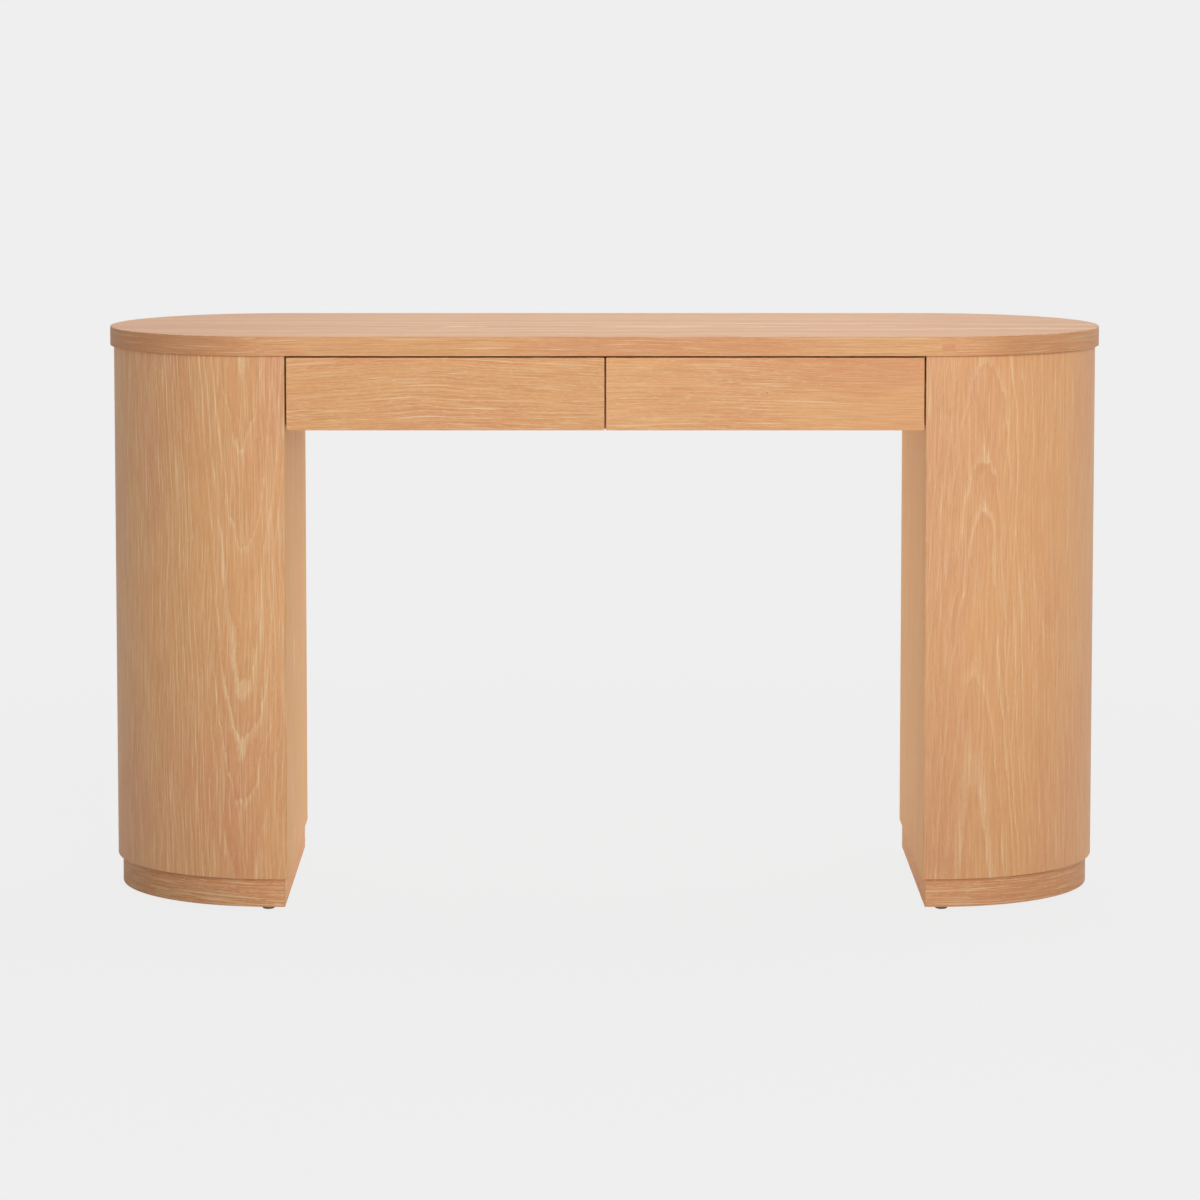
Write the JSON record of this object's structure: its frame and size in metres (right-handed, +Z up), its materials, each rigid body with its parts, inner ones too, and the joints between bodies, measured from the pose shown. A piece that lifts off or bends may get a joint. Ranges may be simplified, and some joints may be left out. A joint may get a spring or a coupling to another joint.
{
  "type": "writing desk",
  "caption": "Writing desk with a half-round-ended top on two half-round pedestals, recessed plinths, levelling glides and handle-less drawers on ball-bearing slides.",
  "frame": {"origin": "on the floor, under the middle of the desktop", "axes": "+X along the desk's width, to the right seen from the front; the drawers face -Y; +Z up"},
  "size_m": [1.3338, 0.456, 0.762],
  "materials": {
    "oak_veneer": "limed oak veneer, satin lacquer",
    "carcass_board": "plain plywood and board, sealed",
    "drawer_box_wood": "birch plywood, clear lacquer",
    "slide_steel": "bright zinc plate",
    "zinc_steel": "zinc plate",
    "glide_nylon": "dark grey-brown nylon"
  },
  "bodies": {
    "desk": {"case_bolts": "zinc_steel", "case_divider": "carcass_board", "case_left_side": "carcass_board", "case_right_side": "carcass_board", "desktop_core": "oak_veneer", "desktop_lipping": "oak_veneer", "foot_blocks": "carcass_board", "front_stretcher": "carcass_board", "glide_inserts": "zinc_steel", "left_bottom_board": "carcass_board", "left_centre_slide_case_rail": "slide_steel", "left_curved_shell": "oak_veneer", "left_end_slide_case_rail": "slide_steel", "left_inner_panel": "oak_veneer", "left_middle_rib": "carcass_board", "left_plinth_curve": "oak_veneer", "left_plinth_strip": "oak_veneer", "left_top_board": "carcass_board", "rear_apron": "oak_veneer", "right_bottom_board": "carcass_board", "right_centre_slide_case_rail": "slide_steel", "right_curved_shell": "oak_veneer", "right_end_slide_case_rail": "slide_steel", "right_inner_panel": "oak_veneer", "right_middle_rib": "carcass_board", "right_plinth_curve": "oak_veneer", "right_plinth_strip": "oak_veneer", "right_top_board": "carcass_board", "top_screws": "zinc_steel"},
    "left_drawer": {"left_centre_slide_drawer_rail": "slide_steel", "left_drawer_back": "drawer_box_wood", "left_drawer_bottom": "drawer_box_wood", "left_drawer_box_front": "drawer_box_wood", "left_drawer_centre_side": "drawer_box_wood", "left_drawer_end_side": "drawer_box_wood", "left_drawer_face": "oak_veneer", "left_end_slide_drawer_rail": "slide_steel"},
    "left_end_slide_middle": {"left_end_slide_balls": "slide_steel", "left_end_slide_middle_rail": "slide_steel"},
    "left_centre_slide_middle": {"left_centre_slide_balls": "slide_steel", "left_centre_slide_middle_rail": "slide_steel"},
    "left_front_glide": {"left_front_glide": "glide_nylon"},
    "left_rear_glide": {"left_rear_glide": "glide_nylon"},
    "left_end_glide": {"left_end_glide": "glide_nylon"},
    "right_drawer": {"right_centre_slide_drawer_rail": "slide_steel", "right_drawer_back": "drawer_box_wood", "right_drawer_bottom": "drawer_box_wood", "right_drawer_box_front": "drawer_box_wood", "right_drawer_centre_side": "drawer_box_wood", "right_drawer_end_side": "drawer_box_wood", "right_drawer_face": "oak_veneer", "right_end_slide_drawer_rail": "slide_steel"},
    "right_end_slide_middle": {"right_end_slide_balls": "slide_steel", "right_end_slide_middle_rail": "slide_steel"},
    "right_centre_slide_middle": {"right_centre_slide_balls": "slide_steel", "right_centre_slide_middle_rail": "slide_steel"},
    "right_front_glide": {"right_front_glide": "glide_nylon"},
    "right_rear_glide": {"right_rear_glide": "glide_nylon"},
    "right_end_glide": {"right_end_glide": "glide_nylon"}
  },
  "joints": [
    {"name": "left_drawer_slide", "type": "slide", "parent": "desk", "child": "left_drawer", "axis": [0, -1, 0], "range_m": [0, 0.35]},
    {"name": "left_end_slide_extend", "type": "slide", "parent": "desk", "child": "left_end_slide_middle", "axis": [0, -1, 0], "range_m": [0, 0.175]},
    {"name": "left_centre_slide_extend", "type": "slide", "parent": "desk", "child": "left_centre_slide_middle", "axis": [0, -1, 0], "range_m": [0, 0.175]},
    {"name": "left_front_glide_turn", "type": "hinge", "parent": "desk", "child": "left_front_glide", "pos_m": [-0.4455, -0.1895, 0], "axis": [0, 0, 1], "continuous": true},
    {"name": "left_rear_glide_turn", "type": "hinge", "parent": "desk", "child": "left_rear_glide", "pos_m": [-0.4455, 0.1895, 0], "axis": [0, 0, 1], "continuous": true},
    {"name": "left_end_glide_turn", "type": "hinge", "parent": "desk", "child": "left_end_glide", "pos_m": [-0.6285, 0, 0], "axis": [0, 0, 1], "continuous": true},
    {"name": "right_drawer_slide", "type": "slide", "parent": "desk", "child": "right_drawer", "axis": [0, -1, 0], "range_m": [0, 0.35]},
    {"name": "right_end_slide_extend", "type": "slide", "parent": "desk", "child": "right_end_slide_middle", "axis": [0, -1, 0], "range_m": [0, 0.175]},
    {"name": "right_centre_slide_extend", "type": "slide", "parent": "desk", "child": "right_centre_slide_middle", "axis": [0, -1, 0], "range_m": [0, 0.175]},
    {"name": "right_front_glide_turn", "type": "hinge", "parent": "desk", "child": "right_front_glide", "pos_m": [0.4455, -0.1895, 0], "axis": [0, 0, 1], "continuous": true},
    {"name": "right_rear_glide_turn", "type": "hinge", "parent": "desk", "child": "right_rear_glide", "pos_m": [0.4455, 0.1895, 0], "axis": [0, 0, 1], "continuous": true},
    {"name": "right_end_glide_turn", "type": "hinge", "parent": "desk", "child": "right_end_glide", "pos_m": [0.6285, 0, 0], "axis": [0, 0, 1], "continuous": true}
  ],
  "couplings": [
    {"joint": "left_end_slide_extend", "follows": "left_drawer_slide", "ratio": 0.5},
    {"joint": "left_centre_slide_extend", "follows": "left_drawer_slide", "ratio": 0.5},
    {"joint": "right_end_slide_extend", "follows": "right_drawer_slide", "ratio": 0.5},
    {"joint": "right_centre_slide_extend", "follows": "right_drawer_slide", "ratio": 0.5}
  ]
}
